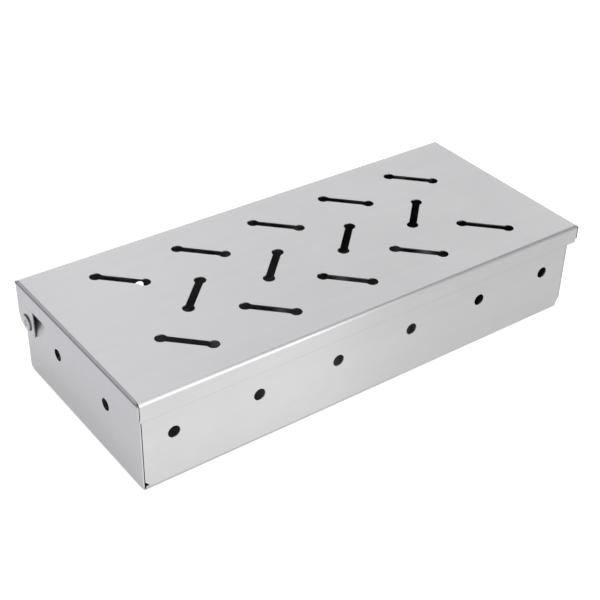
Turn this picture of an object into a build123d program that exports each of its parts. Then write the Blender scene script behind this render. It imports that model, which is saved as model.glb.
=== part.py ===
from build123d import *
import math
import os

# Hinged smoker box for wood chips: a folded sheet tray, a folded sheet lid
# with diagonal smoke slots, and two blind rivets that hinge the lid's ears
# on the tray's end walls.
#
# Frame: millimetres, +Z up, front of the box towards -Y, right end +X.
# Origin: on the surface the box stands on, under the middle of the lid.

# ---------------------------------------------------------------- sizes
sheet = 0.5               # sheet thickness of the tray and the lid
box_height = 43.1         # floor to the top of the closed lid

lid_length = 230.45        # outside, left to right
lid_width = 100.5         # outside, front to back
lid_bend = 1.5            # outside radius of the lid's bends
front_lip = 8.7           # height of the lid's front lip
side_lip = 8.2            # height of the lid's two side lips
back_lip = 8.3            # height of the lid's back lip
lip_seam = 0.4            # open seam between two lips at a corner
lip_relief = 1.9          # depth of the cut that frees the bends at a corner
lip_corner = 2.2          # rounding of the side lips' lower front corners

tray_left = 0.9           # lid's left face to the tray's left wall
tray_right = 4.75          # tray's right wall to the lid's right face
tray_front = 1.0          # lid's front face to the tray's front wall
tray_back = 5.0           # tray's back wall to the lid's back face
tray_bend = 1.5           # outside radius of the tray's bends
tray_seam_left = 0.4      # open seam at the tray's left front corner
tray_seam_right = 0.15    # and at the right front corner, which is nearly shut
tray_seam_back = 2.3      # both rear corners, clear of the pressed recesses
tray_relief = 1.9         # depth of the cut that frees the bends at a corner
end_wall_top = 41.95      # the two end walls carry the closed lid
back_wall_top = 41.1
front_wall_top = 36.8     # lower, so that the lid's front lip swings past it
end_wall_round = 4.0      # rounding of the end walls' rear top corners
end_wall_front_round = 6.0     # and of the front ones, for the front lip's swing
corner_notch = (1.9, 2.2)      # cut at the front wall's lower left corner: wide, high
corner_notch_z = 2.1           # foot of that cut, above the bottom's bend
corner_foot = 0.5              # how far the bend below it is trimmed
corner_bevel = (1.5, 3.1)      # cut at the front wall's lower right corner
corner_bevel_z = 0.9           # foot of its slope
left_end_cut = 2.0        # cut at the left end wall's lower corners
right_end_cut = 4.1       # cut at the right end wall's lower corners

ear_from_back = 0.9       # rear edge of the ears to the lid's back face
ear_width = 13.8
ear_foot = 21.6           # lower edge of the ears above the floor
ear_round = 6.8           # rounding of the ears' lower rear corner
ear_front_round = 1.2     # and of their lower front corner
pivot_from_back = 8.77    # hinge axis to the lid's back face
pivot_z = 26.65           # hinge axis above the floor

rivet_d = 4.0             # rivet shank
rivet_head_d = 7.7
rivet_head_edge = 0.12    # height of the head's outer edge
rivet_crown_d = 6.4       # flat-domed crown, inside the sloping rim
rivet_head_rim = 0.62     # height of the rim
rivet_head_h = 0.9        # full height of the head
rivet_bore_d = 2.3        # bore that the pin stub fills
rivet_grip = 7.7          # underside of the head to the swollen blind end
rivet_blind_d = 5.3       # swollen blind end
rivet_blind_len = 3.1
stub_sink = 0.22          # how far the broken pin lies below the dome's crown
stub_head_d = 3.4
stub_head_len = 1.5
ear_hole_clear = 0.02     # the swollen shank fills the ear's hole
wall_hole_clear = 0.08    # and turns in the tray wall's hole

slot_pitch_x = 39.46      # from one smoke slot to the next in a row
slot_pitch_y = 26.3       # from one row to the next
slot_mid_x = -0.35        # middle of the slot pattern on the lid
slot_mid_y = -0.03
slot_centres = 20.9       # between the centres of a slot's two round ends
slot_end_r = 2.65
slot_web = 3.5            # width of the slot between its round ends

vent_r = 2.7             # round air holes in the walls
vent_pitch = 39.1
front_vent_z = 23.55
front_vent_rise = 0.15    # their row climbs a little to the right
front_vent_mid_x = -2.15  # middle of the front wall's holes
back_vent_z = 22.5
back_vent_mid_x = -2.45   # middle of the back wall's holes
end_vent_z = 24.9
end_vent_rise = -0.7      # the rear hole sits lower than the front one
end_vent_pitch = 39.45
end_vent_mid_y = -3.0     # middle of the end walls' holes

dent_from_back = 12.8     # shallow dish pressed into each end wall behind the
dent_z = 35.8             # ear: centre, from the lid's back face and the floor
dent_r = 14.0
dent_depth = 3.0

# ---------------------------------------------------------------- planes
x_left = -lid_length / 2
x_right = lid_length / 2
y_front = -lid_width / 2
y_back = lid_width / 2
tx0 = x_left + tray_left
tx1 = x_right - tray_right
ty0 = y_front + tray_front
ty1 = y_back - tray_back
pivot_y = y_back - pivot_from_back


def block(x0, x1, y0, y1, z0, z1):
    """A box given by its two corners."""
    return Pos((x0 + x1) / 2, (y0 + y1) / 2, (z0 + z1) / 2) * Box(x1 - x0, y1 - y0, z1 - z0)


def rounded(solid, axis, top, radius):
    """Rounds the two edges along an axis at the solid's top or bottom."""
    edges = solid.edges().filter_by(axis).group_by(Axis.Z)[-1 if top else 0]
    return fillet(edges, radius)


def rod_x(x0, x1, y, z, r):
    """A cylinder along X."""
    return Pos((x0 + x1) / 2, y, z) * Rot(0, 90, 0) * Cylinder(r, x1 - x0)


def rod_y(y0, y1, x, z, r):
    """A cylinder along Y."""
    return Pos(x, (y0 + y1) / 2, z) * Rot(90, 0, 0) * Cylinder(r, y1 - y0)


def prism_x(points, x0, x1):
    """A solid with a straight-sided outline in the YZ plane, from x0 to x1."""
    face = make_face(Polyline(*[(x0, y, z) for y, z in points], close=True))
    return extrude(face, amount=x1 - x0, dir=(1, 0, 0))


def prism_y(points, y0, y1):
    """A solid with a straight-sided outline in the XZ plane, from y0 to y1."""
    face = make_face(Polyline(*[(x, y0, z) for x, z in points], close=True))
    return extrude(face, amount=y1 - y0, dir=(0, 1, 0))


# ---------------------------------------------------------------- lid
def smoke_slot(x, y, angle):
    """One dog-bone slot: a narrow web with a round hole at each end."""
    depth = 4 * sheet
    cut = Box(slot_centres, slot_web, depth)
    cut += Pos(slot_centres / 2, 0, 0) * Cylinder(slot_end_r, depth)
    cut += Pos(-slot_centres / 2, 0, 0) * Cylinder(slot_end_r, depth)
    return Pos(x, y, box_height - sheet / 2) * Rot(0, 0, angle) * cut


def make_lid():
    low = ear_foot - 1
    top = box_height
    # plate and side lips: a channel bent along its two long-way folds
    outer = rounded(block(x_left, x_right, y_front, y_back, low, top), Axis.Y, True, lid_bend)
    inner = rounded(
        block(x_left + sheet, x_right - sheet, y_front - 1, y_back + 1, low - 1, top - sheet),
        Axis.Y, True, lid_bend - sheet,
    )
    lid = outer - inner
    # side view of the lips and ears
    ear_back = y_back - ear_from_back
    ear_front = ear_back - ear_width
    lip_z = top - side_lip
    keep = prism_x(
        [(y_front, top + 1), (y_back, top + 1), (y_back, top - lid_bend),
         (ear_back, top - lid_bend), (ear_back, ear_foot), (ear_front, ear_foot),
         (ear_front, lip_z), (y_front, lip_z)],
        x_left - 1, x_right + 1,
    )
    for y, z, r in (
        (y_front, lip_z, lip_corner), (ear_back, ear_foot, ear_round),
        (ear_front, ear_foot, ear_front_round),
    ):
        corner = keep.edges().filter_by(Axis.X).sort_by(lambda e: (e.center().Y - y) ** 2 + (e.center().Z - z) ** 2)
        keep = fillet(corner[0:1], r)
    lid = lid & keep
    # front and back lips, each between two open corner seams
    a, b = x_left + sheet + lip_seam, x_right - sheet - lip_seam
    lid -= block(x_left + sheet, x_right - sheet, y_front - 1, y_front + lip_relief, low, top + 1)
    lid -= block(x_left + sheet, x_right - sheet, y_back - lip_relief, y_back + 1, low, top + 1)
    front = block(a, b, y_front, y_front + lip_relief, top - front_lip, top)
    front = fillet(
        front.edges().filter_by(Axis.X).group_by(Axis.Z)[-1].sort_by(Axis.Y)[0:1], lid_bend
    )
    hollow = block(a - 1, b + 1, y_front + sheet, y_front + lip_relief + 5, low, top - sheet)
    hollow = fillet(
        hollow.edges().filter_by(Axis.X).group_by(Axis.Z)[-1].sort_by(Axis.Y)[0:1],
        lid_bend - sheet,
    )
    lid += front - hollow
    back = block(a, b, y_back - lip_relief, y_back, top - back_lip, top)
    back = fillet(
        back.edges().filter_by(Axis.X).group_by(Axis.Z)[-1].sort_by(Axis.Y)[-1:], lid_bend
    )
    hollow = block(a - 1, b + 1, y_back - lip_relief - 5, y_back - sheet, low, top - sheet)
    hollow = fillet(
        hollow.edges().filter_by(Axis.X).group_by(Axis.Z)[-1].sort_by(Axis.Y)[-1:],
        lid_bend - sheet,
    )
    lid += back - hollow
    # smoke slots: two rows of five leaning one way, a row of four between
    for row in (-1, 0, 1):
        count = 4 if row == 0 else 5
        angle = 45 if row == 0 else -45
        for i in range(count):
            x = slot_mid_x + (i - (count - 1) / 2) * slot_pitch_x
            lid -= smoke_slot(x, slot_mid_y + row * slot_pitch_y, angle)
    # rivet holes in the ears
    lid -= rod_x(x_left - 1, x_left + 2, pivot_y, pivot_z, rivet_d / 2 + ear_hole_clear)
    lid -= rod_x(x_right - 2, x_right + 1, pivot_y, pivot_z, rivet_d / 2 + ear_hole_clear)
    return lid


# ---------------------------------------------------------------- tray
def dish(outer, x_face, inward):
    """A round dished volume pressed into a wall whose outer face is at x_face.

    outer True gives the space pressed in from outside, False the same grown
    by the sheet's thickness, so that the two differ by the dished sheet.
    """
    r, d = dent_r, dent_depth
    bend = (r * r + d * d) / (4 * d)          # equal radii at rim and bottom
    grow = 0 if outer else sheet
    rim, bottom = bend - grow, bend + grow
    ang = math.asin(r / 2 / bend)
    # half profile: u from the dish's axis, v inward from the outer face
    p0 = (r, grow)
    p1 = (r - rim * math.sin(ang / 2), bend - rim * math.cos(ang / 2))
    p2 = (r - rim * math.sin(ang), bend - rim * math.cos(ang))
    p3 = (bottom * math.sin(ang / 2), d - bend + bottom * math.cos(ang / 2))
    p4 = (0, d + grow)
    back = -1.0                               # reaches out past the wall

    def at(p):
        return (p[0], 0, p[1])

    outline = [
        ThreePointArc(at(p0), at(p1), at(p2)),
        ThreePointArc(at(p2), at(p3), at(p4)),
        Line(at(p4), (0, 0, back)),
        Line((0, 0, back), (r, 0, back)),
        Line((r, 0, back), at(p0)),
    ]
    solid = revolve(make_face(Wire(outline)), Axis.Z, 360)
    turn = Rot(0, 90, 0) if inward > 0 else Rot(0, -90, 0)
    return Pos(x_face, y_back - dent_from_back, dent_z) * turn * solid


def make_tray():
    # bottom and end walls: a channel bent along its two short folds
    outer = rounded(block(tx0, tx1, ty0, ty1, 0, end_wall_top), Axis.Y, False, tray_bend)
    inner = rounded(
        block(tx0 + sheet, tx1 - sheet, ty0 - 1, ty1 + 1, sheet, end_wall_top + 1),
        Axis.Y, False, tray_bend - sheet,
    )
    tray = outer - inner
    # front and back walls, each between two corner seams
    tray -= block(tx0 + sheet, tx1 - sheet, ty0 - 1, ty0 + tray_relief, -1, end_wall_top + 1)
    tray -= block(tx0 + sheet, tx1 - sheet, ty1 - tray_relief, ty1 + 1, -1, end_wall_top + 1)
    for side in (-1, 1):
        y_face = ty0 if side < 0 else ty1
        a = tx0 + sheet + (tray_seam_left if side < 0 else tray_seam_back)
        b = tx1 - sheet - (tray_seam_right if side < 0 else tray_seam_back)
        y_in = y_face - side * tray_relief
        z_top = front_wall_top if side < 0 else back_wall_top
        pick = slice(0, 1) if side < 0 else slice(-1, None)
        wall = block(a, b, min(y_face, y_in), max(y_face, y_in), 0, z_top)
        wall = fillet(
            wall.edges().filter_by(Axis.X).group_by(Axis.Z)[0].sort_by(Axis.Y)[pick], tray_bend
        )
        y_hollow = y_face - side * sheet
        y_far = y_face - side * (tray_relief + 5)
        hollow = block(a - 1, b + 1, min(y_hollow, y_far), max(y_hollow, y_far), sheet, z_top + 1)
        hollow = fillet(
            hollow.edges().filter_by(Axis.X).group_by(Axis.Z)[0].sort_by(Axis.Y)[pick],
            tray_bend - sheet,
        )
        wall = wall - hollow
        # left: a notch above the bend; right: a bevel down to the bottom
        y0, y1 = min(y_face, y_in) - 1, max(y_face, y_in) + 1
        w, h = corner_notch
        z = corner_notch_z
        wall -= prism_y(
            [(a - 1, -1), (a + corner_foot, -1), (a + corner_foot, z), (a + w, z), (a, z + h),
             (a - 1, z + h)], y0, y1,
        )
        w, h = corner_bevel
        z = corner_bevel_z
        wall -= prism_y([(b + 1, -1), (b - w, -1), (b - w, z), (b, z + h), (b + 1, z + h)], y0, y1)
        tray += wall
    # lower front and back corners of the end walls
    for x0, x1, c in ((tx0 - 1, tx0 + sheet, left_end_cut), (tx1 - sheet, tx1 + 1, right_end_cut)):
        tray -= prism_x([(ty0 - 1, -1), (ty0 + c, -1), (ty0 + c, 0), (ty0, c), (ty0 - 1, c)], x0, x1)
        tray -= prism_x([(ty1 + 1, -1), (ty1 - c, -1), (ty1 - c, 0), (ty1, c), (ty1 + 1, c)], x0, x1)
    # air holes: six in the front wall, six in the back wall, two in each end
    for i in range(6):
        x = (i - 2.5) * vent_pitch
        tray -= rod_y(ty0 - 1, ty0 + 2, front_vent_mid_x + x, front_vent_z + (i - 2.5) * front_vent_rise, vent_r)
        tray -= rod_y(ty1 - 2, ty1 + 1, back_vent_mid_x + x, back_vent_z, vent_r)
    for side in (-1, 1):
        y = end_vent_mid_y + side * end_vent_pitch / 2
        tray -= rod_x(tx0 - 1, tx1 + 1, y, end_vent_z + side * end_vent_rise / 2, vent_r)
    # pressed recesses beside the hinge ears
    limit = block(tx0 - 3, tx1 + 3, ty0 + 2, ty1, 2, end_wall_top)
    for x_face, inward in ((tx0, 1), (tx1, -1)):
        grown = dish(False, x_face, inward) & limit
        side_in = block(
            x_face if inward > 0 else x_face - 20, x_face + 20 if inward > 0 else x_face,
            ty0, ty1, 0, end_wall_top,
        )
        tray += grown & side_in
        tray -= dish(True, x_face, inward)
    # the end walls' top corners are rounded
    for y, r in ((ty0, end_wall_front_round), (ty1, end_wall_round)):
        inside = 1 if y == ty0 else -1
        corner = block(
            tx0 - 1, tx1 + 1, min(y, y + inside * r) - (1 if inside > 0 else 0),
            max(y, y + inside * r) + (1 if inside < 0 else 0), end_wall_top - r, end_wall_top + 1,
        )
        corner -= rod_x(tx0 - 2, tx1 + 2, y + inside * r, end_wall_top - r, r)
        tray -= corner
    # rivet holes that the lid turns on
    tray -= rod_x(tx0 - 1, tx0 + 3, pivot_y, pivot_z, rivet_d / 2 + wall_hole_clear)
    tray -= rod_x(tx1 - 3, tx1 + 1, pivot_y, pivot_z, rivet_d / 2 + wall_hole_clear)
    return tray


# ---------------------------------------------------------------- rivets
def place(solid, left):
    """Puts a solid built along +Z, head down at z < 0, on the hinge axis."""
    if left:
        return Pos(x_left, pivot_y, pivot_z) * Rot(0, 90, 0) * solid
    return Pos(x_right, pivot_y, pivot_z) * Rot(0, -90, 0) * solid


def rivet_body():
    """Blind rivet: domed head, hollow shank and swollen blind end."""
    hr, sr, br = rivet_head_d / 2, rivet_d / 2, rivet_bore_d / 2
    rim, h, g, n = rivet_head_rim, rivet_head_h, rivet_grip, rivet_blind_len
    swell, edge = rivet_blind_d / 2, rivet_head_edge
    # crown sphere through the inner edge of the rim
    cr = rivet_crown_d / 2
    rise = h - rim
    crown_r = (cr * cr + rise * rise) / (2 * rise)
    zc = -h + crown_r

    def dome(r):
        return zc - (crown_r ** 2 - r ** 2) ** 0.5

    lip = br + 0.35                            # rolled edge of the bore
    mid = (cr + lip) / 2
    outline = [
        ThreePointArc((hr, 0, -edge), ((hr + cr) / 2 + 0.07, 0, -(edge + rim) / 2 - 0.06), (cr, 0, -rim)),
        ThreePointArc((cr, 0, -rim), (mid, 0, dome(mid)), (lip, 0, dome(lip))),
        Line((lip, 0, dome(lip)), (br, 0, dome(lip) + 0.15)),
        Line((br, 0, dome(lip) + 0.15), (br, 0, g + n)),
        Line((br, 0, g + n), (sr - 0.1, 0, g + n)),
        ThreePointArc((sr - 0.1, 0, g + n), (swell, 0, g + n * 0.42), (sr + 0.25, 0, g)),
        Line((sr + 0.25, 0, g), (sr, 0, g)),
        Line((sr, 0, g), (sr, 0, 0)),
        Line((sr, 0, 0), (hr, 0, 0)),
        Line((hr, 0, 0), (hr, 0, -edge)),
    ]
    return revolve(make_face(Wire(outline)), Axis.Z, 360)


def pin_stub():
    """What stays of the setting pin: a stub in the bore and its head."""
    r = rivet_bore_d / 2 - 0.03
    start = -rivet_head_h + stub_sink
    end = rivet_grip + rivet_blind_len
    hr = stub_head_d / 2
    # the head's round end is part of a sphere centred on the axis
    rise = stub_head_len - 0.4
    ball = (hr * hr + rise * rise) / (2 * rise)
    centre = end + stub_head_len - ball
    half = math.asin(hr / ball) / 2
    outline = [
        Line((0, 0, start), (r - 0.15, 0, start + 0.05)),
        Line((r - 0.15, 0, start + 0.05), (r, 0, start + 0.2)),
        Line((r, 0, start + 0.2), (r, 0, end + 0.03)),
        Line((r, 0, end + 0.03), (hr, 0, end + 0.03)),
        Line((hr, 0, end + 0.03), (hr, 0, end + 0.4)),
        ThreePointArc(
            (hr, 0, end + 0.4),
            (ball * math.sin(half), 0, centre + ball * math.cos(half)),
            (0, 0, end + stub_head_len),
        ),
        Line((0, 0, end + stub_head_len), (0, 0, start)),
    ]
    return revolve(make_face(Wire(outline)), Axis.Z, 360)


pieces = {
    "tray": make_tray(),
    "lid": make_lid(),
    "left_hinge_rivet": place(rivet_body(), True),
    "right_hinge_rivet": place(rivet_body(), False),
    "left_rivet_pin_stub": place(pin_stub(), True),
    "right_rivet_pin_stub": place(pin_stub(), False),
}

os.makedirs("parts", exist_ok=True)
for name, piece in pieces.items():
    solids = piece.solids()
    print(name, len(solids), "solid(s)", [round(s.volume, 1) for s in solids])
    export_step(solids[0] if len(solids) == 1 else piece, f"parts/{name}.step")
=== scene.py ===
import math

import bpy
from mathutils import Matrix, Quaternion, Vector


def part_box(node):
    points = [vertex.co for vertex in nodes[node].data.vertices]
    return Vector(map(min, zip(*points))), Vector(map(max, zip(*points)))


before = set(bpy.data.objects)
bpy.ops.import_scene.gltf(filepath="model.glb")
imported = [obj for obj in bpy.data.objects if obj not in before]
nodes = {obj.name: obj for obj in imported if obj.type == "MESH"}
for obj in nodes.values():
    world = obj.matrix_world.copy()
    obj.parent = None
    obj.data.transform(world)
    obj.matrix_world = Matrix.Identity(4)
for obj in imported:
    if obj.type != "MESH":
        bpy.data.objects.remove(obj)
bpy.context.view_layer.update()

scene = bpy.context.scene


# ---------------------------------------------------------------- camera
def make_camera():
    az, el, roll = math.radians(-39.5769), math.radians(35.283), math.radians(3.1076)
    back = Vector((math.sin(az) * math.cos(el), -math.cos(az) * math.cos(el), math.sin(el)))
    right = Vector((math.cos(az), math.sin(az), 0.0))
    up = back.cross(right)
    c, s = math.cos(roll), math.sin(roll)
    right, up = c * right + s * up, -s * right + c * up
    data = bpy.data.cameras.new("camera")
    data.sensor_width = 36.0
    data.lens = 75.02
    data.shift_x = -0.0825
    data.shift_y = 0.0408
    data.clip_start, data.clip_end = 0.01, 50.0
    cam = bpy.data.objects.new("camera", data)
    scene.collection.objects.link(cam)
    m = Matrix((right, up, back)).transposed().to_4x4()
    m.translation = Vector((-0.280095, -0.36762, 0.33191))
    cam.matrix_world = m
    scene.camera = cam


make_camera()


# ---------------------------------------------------------------- node helpers
class Tree:
    """Short names for adding nodes to a shader tree."""

    def __init__(self, tree):
        self.t = tree
        self.t.nodes.clear()

    def add(self, kind, inputs=None, **props):
        n = self.t.nodes.new(kind)
        for k, v in props.items():
            setattr(n, k, v)
        for k, v in (inputs or {}).items():
            if isinstance(v, bpy.types.NodeSocket):
                self.t.links.new(v, n.inputs[k])
            else:
                n.inputs[k].default_value = v
        return n

    def math(self, op, a, b=None, c=None, clamp=False):
        n = self.t.nodes.new("ShaderNodeMath")
        n.operation, n.use_clamp = op, clamp
        for i, v in enumerate((a, b, c)):
            if v is None:
                continue
            if isinstance(v, bpy.types.NodeSocket):
                self.t.links.new(v, n.inputs[i])
            else:
                n.inputs[i].default_value = v
        return n.outputs[0]

    def vec(self, op, a, b=None, scale=None):
        n = self.t.nodes.new("ShaderNodeVectorMath")
        n.operation = op
        for i, v in enumerate((a, b)):
            if v is None:
                continue
            if isinstance(v, bpy.types.NodeSocket):
                self.t.links.new(v, n.inputs[i])
            else:
                n.inputs[i].default_value = v
        if scale is not None:
            if isinstance(scale, bpy.types.NodeSocket):
                self.t.links.new(scale, n.inputs["Scale"])
            else:
                n.inputs["Scale"].default_value = scale
        return n.outputs["Value"] if op in ("DOT_PRODUCT", "LENGTH", "DISTANCE") else n.outputs[0]

    def remap(self, value, a, b, lo, hi, kind="SMOOTHSTEP"):
        n = self.add("ShaderNodeMapRange", {0: value, 1: a, 2: b, 3: lo, 4: hi}, interpolation_type=kind)
        return n.outputs[0]

    def noise(self, vector, detail=2.0, rough=0.5, scale=1.0, dims="3D", w=None, distortion=0.0):
        n = self.add("ShaderNodeTexNoise", noise_dimensions=dims)
        if vector is not None:
            self.t.links.new(vector, n.inputs["Vector"])
        n.inputs["Scale"].default_value = scale
        n.inputs["Detail"].default_value = detail
        n.inputs["Roughness"].default_value = rough
        n.inputs["Distortion"].default_value = distortion
        if w is not None:
            n.inputs["W"].default_value = w
        return n.outputs["Fac"]


# ---------------------------------------------------------------- steel
# strength of the painted shade on the inward faces
INNER_SHADE = 0.38


def sheet_steel(name, seed, colour, rough, lip_edge_z=None):
    """Folded stainless sheet with one brushing direction: the lines run along X on the flat faces and on the long lips, and turn down the end faces."""
    mat = bpy.data.materials.new(name)
    mat.use_nodes = True
    t = Tree(mat.node_tree)
    co = t.add("ShaderNodeTexCoord")
    pos, nrm = co.outputs["Object"], co.outputs["Normal"]
    p = t.add("ShaderNodeSeparateXYZ", {0: pos})
    n = t.add("ShaderNodeSeparateXYZ", {0: nrm})
    side = t.remap(t.math("ABSOLUTE", n.outputs[0]), 0.55, 0.85, 0.0, 1.0)
    # along: distance along the brushing; across: distance over it
    along = t.math("ADD", p.outputs[0], t.math("MULTIPLY", side, t.math("SUBTRACT", p.outputs[2], p.outputs[0])))
    across_z = t.math("MULTIPLY", p.outputs[2], t.math("SUBTRACT", 1.0, side))

    def grain(per_along, per_across, detail, rough_, offset):
        v = t.add("ShaderNodeCombineXYZ", {
            0: t.math("MULTIPLY_ADD", along, per_along, offset + seed),
            1: t.math("MULTIPLY", p.outputs[1], per_across),
            2: t.math("MULTIPLY", across_z, per_across)})
        return t.noise(v.outputs[0], detail, rough_)

    fine = grain(90.0, 7500.0, 2.0, 0.6, 0.0)
    mid = grain(26.0, 1900.0, 2.0, 0.55, 17.3)
    broad = grain(7.0, 260.0, 2.0, 0.5, 41.9)
    smear = t.noise(pos, 3.0, 0.55, scale=38.0, w=seed, dims="4D", distortion=0.6)
    mottle = t.noise(pos, 3.0, 0.6, scale=170.0, w=seed + 9.0, dims="4D")
    blotch = t.noise(pos, 2.0, 0.5, scale=14.0, w=seed + 5.0, dims="4D")

    # colour: a near neutral steel, a little darker in the deeper lines and in faint smears
    tone = t.math("ADD", t.math("MULTIPLY", fine, 0.05), t.math("MULTIPLY", mid, 0.05))
    tone = t.math("ADD", tone, t.math("MULTIPLY", broad, 0.05))
    tone = t.math("ADD", tone, t.math("MULTIPLY", smear, 0.05))
    tone = t.math("ADD", tone, t.math("MULTIPLY", mottle, 0.05))
    tone = t.math("ADD", tone, t.math("MULTIPLY", blotch, 0.03))
    tone = t.math("ADD", tone, 1.0 - 0.140)
    # painted shade: the faces towards the inside are darkened, standing in for the shade inside the box
    inward = t.vec("DOT_PRODUCT", nrm, t.vec("SUBTRACT", pos, (0.0, 0.0, 0.022)))
    inner_shade = t.math("MULTIPLY", t.remap(inward, -0.012, -0.004, 1.0, 0.0), t.remap(p.outputs[2], 0.04250, 0.04260, 1.0, 0.0))
    inner_shade = t.math("MULTIPLY", inner_shade, t.remap(smear, 0.35, 0.65, 1.15, 0.65))
    tone = t.math("MULTIPLY", tone, t.math("MULTIPLY_ADD", inner_shade, -INNER_SHADE, 1.0))
    # a faint darker line along the lips' lower edges
    if lip_edge_z is None:
        # painted shade: the walls get darker towards the foot, the end faces most, standing in for the table's shade
        # near the box
        foot_shade = t.math("MULTIPLY", t.remap(p.outputs[2], 0.001, 0.024, 1.0, 0.0), t.math("MULTIPLY_ADD", side, 0.085, 0.03))
        # and a painted contact shadow darkens the bend that it stands on, less towards the right end
        contact_shade = t.math("MULTIPLY", t.remap(p.outputs[2], 0.0009, 0.0019, 1.0, 0.0), t.remap(p.outputs[0], -0.01, 0.03, 1.0, 0.15))
        foot_shade = t.math("MULTIPLY_ADD", contact_shade, t.math("MULTIPLY_ADD", side, -0.11, 0.23), foot_shade)
        tone = t.math("MULTIPLY", tone, t.math("SUBTRACT", 1.0, foot_shade))
    else:
        line = t.remap(t.math("ABSOLUTE", t.math("SUBTRACT", p.outputs[2], lip_edge_z)), 0.0, 0.0007, 1.0, 0.0)
        tone = t.math("MULTIPLY", tone, t.math("MULTIPLY_ADD", line, -0.12, 1.0))
    base = t.vec("SCALE", t.add("ShaderNodeCombineXYZ", {0: colour[0], 1: colour[1], 2: colour[2]}).outputs[0], scale=tone)

    r = t.math("ADD", t.math("MULTIPLY", t.math("SUBTRACT", mid, 0.5), 0.05), rough)
    r = t.math("ADD", r, t.math("MULTIPLY", t.math("SUBTRACT", smear, 0.5), 0.05))
    r = t.math("ADD", r, t.math("MULTIPLY", t.math("SUBTRACT", blotch, 0.5), 0.04), clamp=True)

    height = t.math("ADD", t.math("MULTIPLY", fine, 0.5), t.math("MULTIPLY", mid, 0.8))
    bump = t.add("ShaderNodeBump", {"Strength": 0.16, "Distance": 0.00001, "Height": height})

    # the brushing spreads reflections over the lines
    over = t.vec("CROSS_PRODUCT", nrm, (1.0, 0.0, 0.0))
    over = t.vec("ADD", over, t.vec("SCALE", t.add("ShaderNodeCombineXYZ", {0: 0.0, 1: 1.0, 2: 0.0}).outputs[0], scale=t.math("ABSOLUTE", n.outputs[0])))
    tan = t.add("ShaderNodeVectorTransform", {0: over}, vector_type="VECTOR", convert_from="OBJECT", convert_to="WORLD")

    bsdf = t.add("ShaderNodeBsdfPrincipled", {
        "Base Color": base, "Metallic": 1.0, "Roughness": r, "Anisotropic": 1.0,
        "Normal": bump.outputs[0], "Tangent": tan.outputs[0]})
    out = t.add("ShaderNodeOutputMaterial", {0: bsdf.outputs[0]})
    return mat


def turned_steel(name, seed, colour, rough, rings, rim_shade=0.0):
    """Rivet and pin steel: drawn and tumbled, so the marks are fine pits and faint rings about the rivet's axis."""
    mat = bpy.data.materials.new(name)
    mat.use_nodes = True
    t = Tree(mat.node_tree)
    co = t.add("ShaderNodeTexCoord")
    pos = co.outputs["Object"]
    local = t.vec("SUBTRACT", pos, (0.0, 0.04148, 0.02665))
    s = t.add("ShaderNodeSeparateXYZ", {0: local})
    radius = t.math("SQRT", t.math("ADD", t.math("MULTIPLY", s.outputs[1], s.outputs[1]), t.math("MULTIPLY", s.outputs[2], s.outputs[2])))
    ring = t.noise(t.add("ShaderNodeCombineXYZ", {0: t.math("MULTIPLY", radius, rings), 1: t.math("MULTIPLY", s.outputs[0], rings), 2: seed}).outputs[0], 2.0, 0.6)
    pits = t.noise(pos, 3.0, 0.6, scale=2600.0, w=seed, dims="4D")
    cloud = t.noise(pos, 2.0, 0.5, scale=420.0, w=seed + 3.0, dims="4D")
    tone = t.math("ADD", t.math("MULTIPLY", ring, 0.10), t.math("MULTIPLY", pits, 0.12))
    tone = t.math("ADD", t.math("ADD", tone, t.math("MULTIPLY", cloud, 0.30)), 1.0 - 0.26)
    if rim_shade:
        # painted shade round the head's rim, most on its upper front
        turn = t.math("DIVIDE", t.math("MULTIPLY_ADD", s.outputs[1], -0.85, t.math("MULTIPLY", s.outputs[2], 0.52)), 0.0038)
        dark = t.math("MULTIPLY", t.remap(radius, 0.0029, 0.0033, 0.0, 1.0), t.remap(turn, -0.35, 0.35, 0.15, 1.0))
        dark = t.math("MULTIPLY", dark, t.remap(cloud, 0.30, 0.55, 0.6, 1.0))
        tone = t.math("MULTIPLY", tone, t.math("SUBTRACT", 1.0, t.math("MULTIPLY", dark, rim_shade)))
    base = t.vec("SCALE", t.add("ShaderNodeCombineXYZ", {0: colour[0], 1: colour[1], 2: colour[2]}).outputs[0], scale=tone)
    r = t.math("ADD", t.math("MULTIPLY", t.math("SUBTRACT", pits, 0.5), 0.16), rough)
    r = t.math("ADD", r, t.math("MULTIPLY", t.math("SUBTRACT", cloud, 0.5), 0.12), clamp=True)
    height = t.math("ADD", t.math("MULTIPLY", ring, 0.5), t.math("MULTIPLY", pits, 0.8))
    bump = t.add("ShaderNodeBump", {"Strength": 0.4, "Distance": 0.00001, "Height": height})
    bsdf = t.add("ShaderNodeBsdfPrincipled", {"Base Color": base, "Metallic": 1.0, "Roughness": r, "Normal": bump.outputs[0]})
    t.add("ShaderNodeOutputMaterial", {0: bsdf.outputs[0]})
    return mat


lid_steel = sheet_steel("lid_brushed_steel", 3.0, (0.427, 0.4235, 0.4275), 0.32, 0.0344)
tray_steel = sheet_steel("tray_brushed_steel", 11.0, (0.427, 0.4235, 0.4275), 0.32)
# the rivets' last argument is the strength of the painted rim shade
rivet_steel = turned_steel("rivet_steel_finish", 2.0, (0.325, 0.325, 0.328), 0.30, 5200.0, 0.80)
pin_steel = turned_steel("pin_steel_finish", 7.0, (0.36, 0.36, 0.365), 0.38, 4200.0)
finish = {"lid": lid_steel, "tray": tray_steel, "left_hinge_rivet": rivet_steel, "right_hinge_rivet": rivet_steel,
          "left_rivet_pin_stub": pin_steel, "right_rivet_pin_stub": pin_steel}
for name, mat in finish.items():
    o = nodes[name]
    for slot in o.material_slots:
        slot.material = mat


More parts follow.
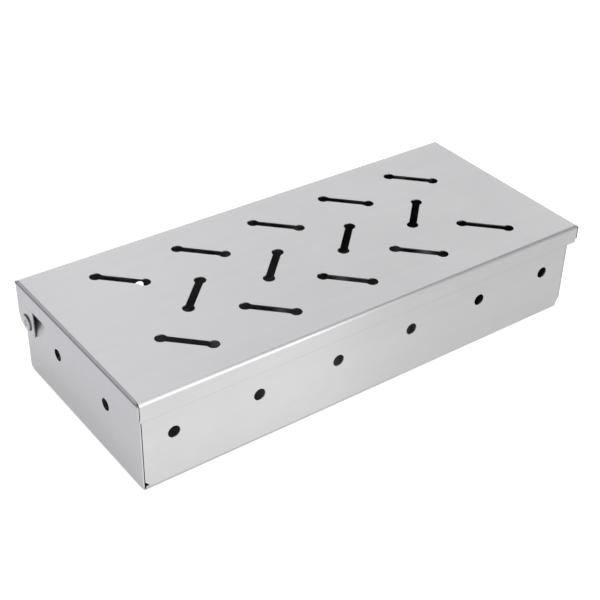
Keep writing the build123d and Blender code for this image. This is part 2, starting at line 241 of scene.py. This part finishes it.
# ---------------------------------------------------------------- floor
def make_floor():
    """A white table top, lit from below near the object and falling off far from it."""
    me = bpy.data.meshes.new("floor")
    r = 12.0
    me.from_pydata([(-r, -r, 0), (r, -r, 0), (r, r, 0), (-r, r, 0)], [], [(0, 1, 2, 3)])
    o = bpy.data.objects.new("floor", me)
    scene.collection.objects.link(o)
    mat = bpy.data.materials.new("floor_white")
    mat.use_nodes = True
    t = Tree(mat.node_tree)
    at = t.add("ShaderNodeTexCoord").outputs["Object"]
    sep = t.add("ShaderNodeSeparateXYZ", {0: at})
    px, py = sep.outputs[0], sep.outputs[1]
    left = t.remap(px, -0.16, -0.10, 1.0, 0.0)
    glow = t.remap(t.vec("LENGTH", at), 0.7, 1.3, FLOOR_GLOW, 0.05)
    # painted shade: greyer close to the left end, standing in for the box's shade there, and out of the light on the
    # far left and in front
    glow = t.math("MULTIPLY", glow, t.math("MULTIPLY_ADD", left, t.remap(px, -0.160, -0.119, -0.05, -0.15), 1.0))
    far = t.math("MULTIPLY", t.remap(px, -0.155, -0.12, 1.0, 0.0), t.remap(py, 0.10, 0.17, 0.0, 1.0))
    glow = t.math("MULTIPLY", glow, t.remap(t.math("MAXIMUM", far, t.remap(px, -0.25, -0.155, 1.0, 0.0)), 0.0, 1.0, 1.0, 0.15, "LINEAR"))
    glow = t.math("MULTIPLY", glow, t.remap(py, -0.31, -0.19, 0.15, 1.0))
    # no light from under the tray
    beside = t.remap(t.math("ABSOLUTE", t.math("SUBTRACT", px, (tray_lo.x + tray_hi.x) / 2)), (tray_hi.x - tray_lo.x) / 2 - 0.0014, (tray_hi.x - tray_lo.x) / 2 + 0.0005, 0.10, 1.0)
    before = t.remap(t.math("ABSOLUTE", t.math("SUBTRACT", py, (tray_lo.y + tray_hi.y) / 2)), (tray_hi.y - tray_lo.y) / 2 - 0.0014, (tray_hi.y - tray_lo.y) / 2 + 0.0005, 0.10, 1.0)
    glow = t.math("MULTIPLY", glow, t.math("MAXIMUM", beside, before))
    hue = t.add("ShaderNodeMix", {0: left}, data_type="RGBA")
    hue.inputs[6].default_value = (1.0, 1.0, 0.995, 1.0)
    hue.inputs[7].default_value = (0.955, 0.96, 1.02, 1.0)
    bsdf = t.add("ShaderNodeBsdfPrincipled", {"Base Color": (FLOOR_WHITE, FLOOR_WHITE, FLOOR_WHITE, 1.0), "Roughness": 0.9,
                                             "Specular IOR Level": 0.0, "Emission Color": hue.outputs[2],
                                             "Emission Strength": glow})
    t.add("ShaderNodeOutputMaterial", {0: bsdf.outputs[0]})
    me.materials.append(mat)
    return o


FLOOR_GLOW, FLOOR_WHITE = 0.94, 0.45
tray_lo, tray_hi = (Vector(c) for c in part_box("tray"))
make_floor()


# ---------------------------------------------------------------- light
def make_world():
    """A studio: a light wall round the back, a greyer room in front with a tall soft screen on the left."""
    world = bpy.data.worlds.new("studio")
    scene.world = world
    world.use_nodes = True
    t = Tree(world.node_tree)
    d = t.add("ShaderNodeSeparateXYZ", {0: t.add("ShaderNodeTexCoord").outputs["Generated"]})
    x, y, z = d.outputs[0], d.outputs[1], d.outputs[2]
    deg = math.pi / 180
    # e: height over the front horizon, 90 degrees overhead; q: how far to the right
    e = t.math("ARCTAN2", z, t.math("MULTIPLY", y, -1.0))
    q = t.math("DIVIDE", x, t.math("SQRT", t.math("MULTIPLY_ADD", y, y, t.math("MULTIPLY", z, z))))
    # back wall
    band = t.math("MULTIPLY", t.remap(z, 0.02, 0.24, 0.0, 1.0), t.remap(z, 0.64, 0.78, 1.0, 0.0))
    back = t.remap(y, -0.05, 0.30, 0.0, 1.0)
    # on the far left the wall is only lit high up
    corner = t.remap(x, -0.50, -0.28, 1.0, 0.0)
    band = t.math("MULTIPLY", band, t.math("SUBTRACT", 1.0, t.math("MULTIPLY", corner, t.remap(z, 0.28, 0.46, 1.0, 0.0))))
    left = t.math("ADD", t.remap(x, 0.14, 0.355, 0.22, 1.0), t.remap(x, -0.42, -0.15, 0.46, 0.0))
    wall = t.math("MULTIPLY", t.math("MULTIPLY", band, back), t.math("MULTIPLY", left, t.remap(x, 0.46, 0.70, 1.19, 0.95)))
    # the room, the screen and the fading light right of it
    room = t.remap(e, 30 * deg, 58 * deg, 0.84, 0.52)
    room = t.math("MULTIPLY", room, t.remap(e, 100 * deg, 140 * deg, 1.0, 0.60))
    room = t.math("MULTIPLY", room, t.remap(x, -0.80, -0.35, 0.62, 1.0))
    edge = t.remap(e, 35 * deg, 112 * deg, 0.63, 0.42, "LINEAR")
    screen = t.math("MULTIPLY", t.remap(t.math("SUBTRACT", q, edge), -0.09, 0.05, 1.0, 0.0), t.remap(q, -0.35, -0.05, 0.0, 1.0))
    screen = t.math("MULTIPLY", screen, t.math("MULTIPLY", t.remap(e, 3 * deg, 19 * deg, 0.0, 1.0), t.remap(e, 96 * deg, 124 * deg, 1.0, 0.0)))
    fade = t.math("MULTIPLY", t.remap(q, 0.60, 0.90, 1.0, 0.0), t.math("MULTIPLY", t.remap(e, 0.0, 12 * deg, 0.0, 1.0), t.remap(e, 32 * deg, 60 * deg, 1.0, 0.0)))
    level = t.math("MULTIPLY_ADD", wall, 1.64, room)
    level = t.math("ADD", level, t.math("MULTIPLY", screen, 1.3))
    level = t.math("ADD", level, t.math("MULTIPLY", fade, 1.3))
    tint = t.remap(x, -0.7, 0.7, 0.0, 1.0)
    mix = t.add("ShaderNodeMix", {0: tint}, data_type="RGBA")
    mix.inputs[6].default_value = (0.94, 0.955, 1.0, 1.0)
    mix.inputs[7].default_value = (0.985, 0.99, 1.0, 1.0)
    bg = t.add("ShaderNodeBackground", {0: mix.outputs[2], 1: level})
    t.add("ShaderNodeOutputWorld", {0: bg.outputs[0]})


def softbox(name, at, aim, width, height, power, colour=(1, 1, 1), lean=0.0):
    data = bpy.data.lights.new(name, "AREA")
    data.shape = "RECTANGLE"
    data.size, data.size_y = width, height
    data.energy = power
    data.color = colour
    o = bpy.data.objects.new(name, data)
    scene.collection.objects.link(o)
    o.location = at
    o.rotation_mode = "QUATERNION"
    o.rotation_quaternion = (Vector(aim) - Vector(at)).to_track_quat("-Z", "Y") @ Quaternion((0.0, 0.0, 1.0), math.radians(-lean))
    return o


make_world()
softbox("front_softbox", (0.195, -1.0, 0.16), (0.195, 0.0, 0.16), 0.60, 0.28, 1.45, (1.0, 0.97, 0.93), 2.0)
softbox("front_strip", (0.49, -0.99, 0.16), (0.49, 0.0, 0.16), 0.09, 0.28, 0.33, (1.0, 0.985, 0.965), 2.0)

scene.view_settings.view_transform = "Standard"
scene.view_settings.look = "None"
scene.view_settings.exposure = 0.0
scene.view_settings.gamma = 1.0
